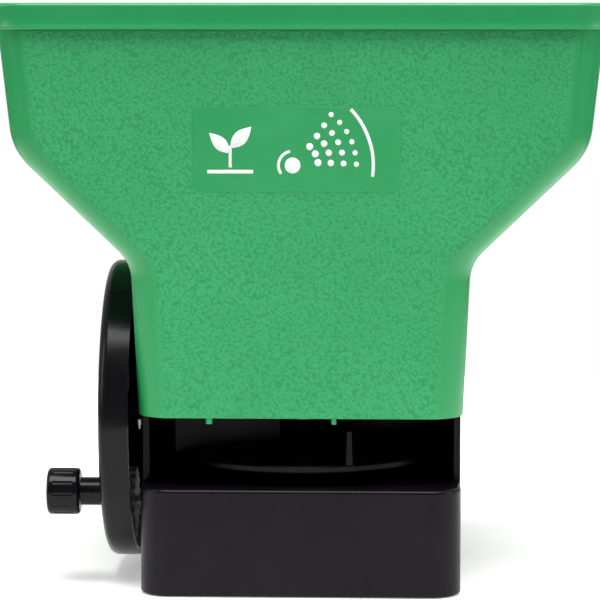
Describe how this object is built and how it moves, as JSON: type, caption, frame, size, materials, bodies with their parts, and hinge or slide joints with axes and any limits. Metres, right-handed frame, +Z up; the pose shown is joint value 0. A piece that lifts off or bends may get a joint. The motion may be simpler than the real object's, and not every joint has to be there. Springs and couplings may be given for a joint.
{
  "type": "hand broadcast spreader",
  "caption": "Hand-held broadcast spreader: green funnel hopper on a black housing, side crank wheel geared to a spinning vaned disc, rear trigger handle.",
  "frame": {"origin": "centre of the base's underside, on the axis of the spinning disc", "axes": "+Z up, -Y towards the discharge slot, -X towards the crank wheel, +Y towards the handle"},
  "size_m": [0.2464, 0.2173, 0.2366],
  "materials": {
    "green_plastic": "fine leather grain",
    "black_plastic": "satin moulded",
    "gloss_black_plastic": "semi-gloss moulded",
    "grey_gear_plastic": "natural moulded",
    "steel": "zinc plated"
  },
  "bodies": {
    "housing": {"base_housing": "black_plastic", "hopper": "green_plastic", "bottom_cover": "black_plastic", "handle_left": "black_plastic", "handle_right": "black_plastic", "lower_bush": "grey_gear_plastic", "upper_bush": "grey_gear_plastic", "trigger_pin": "steel", "wheel_washer": "steel", "wheel_screw": "steel", "cover_screw_1": "steel", "cover_screw_2": "steel", "cover_screw_3": "steel", "cover_screw_4": "steel", "hopper_screw_1": "steel", "hopper_screw_2": "steel", "hopper_screw_3": "steel", "hopper_screw_4": "steel", "handle_screw_1": "steel", "handle_screw_2": "steel", "handle_screw_3": "steel", "handle_screw_4": "steel"},
    "crank": {"crank_wheel": "gloss_black_plastic", "knob_screw": "steel"},
    "knob": {"crank_knob": "gloss_black_plastic", "knob_cap": "gloss_black_plastic"},
    "drive": {"drive_pinion": "grey_gear_plastic", "drive_shaft": "steel", "bevel_gear": "grey_gear_plastic"},
    "impeller": {"impeller_disc": "black_plastic", "impeller_shaft": "steel", "impeller_clip": "steel", "bevel_pinion": "grey_gear_plastic", "agitator": "black_plastic"},
    "gate": {"gate_plate": "black_plastic", "gate_link": "steel"},
    "trigger_arm": {"trigger": "black_plastic", "trigger_spring": "steel"},
    "dial": {"flow_dial": "black_plastic", "dial_screw": "steel"}
  },
  "joints": [
    {"name": "crank_spin", "type": "hinge", "parent": "housing", "child": "crank", "pos_m": [-0.0755, 0, 0.0676], "axis": [1, 0, 0], "continuous": true},
    {"name": "knob_spin", "type": "hinge", "parent": "crank", "child": "knob", "pos_m": [-0.097, -0.0375, 0.0381], "axis": [1, 0, 0], "continuous": true},
    {"name": "drive_spin", "type": "hinge", "parent": "housing", "child": "drive", "pos_m": [-0.04, 0, 0.0271], "axis": [1, 0, 0], "continuous": true},
    {"name": "impeller_spin", "type": "hinge", "parent": "housing", "child": "impeller", "pos_m": [0, 0, 0.05], "axis": [0, 0, 1], "continuous": true},
    {"name": "trigger_pull", "type": "hinge", "parent": "housing", "child": "trigger_arm", "pos_m": [0, 0.094, 0.1034], "axis": [1, 0, 0], "range_deg": [0, 24], "stiffness_Nm_per_rad": 0.4, "springref_deg": -17.19},
    {"name": "gate_slide", "type": "slide", "parent": "housing", "child": "gate", "axis": [0, 1, 0], "range_m": [0, 0.01084]},
    {"name": "dial_turn", "type": "hinge", "parent": "housing", "child": "dial", "pos_m": [0, 0.112, 0.115], "axis": [0, 0, 1], "range_deg": [0, 270]}
  ],
  "couplings": [
    {"joint": "drive_spin", "follows": "crank_spin", "ratio": 4},
    {"joint": "impeller_spin", "follows": "crank_spin", "ratio": -5.3333},
    {"joint": "gate_slide", "follows": "trigger_pull", "m_per_rad": 0.025879}
  ]
}
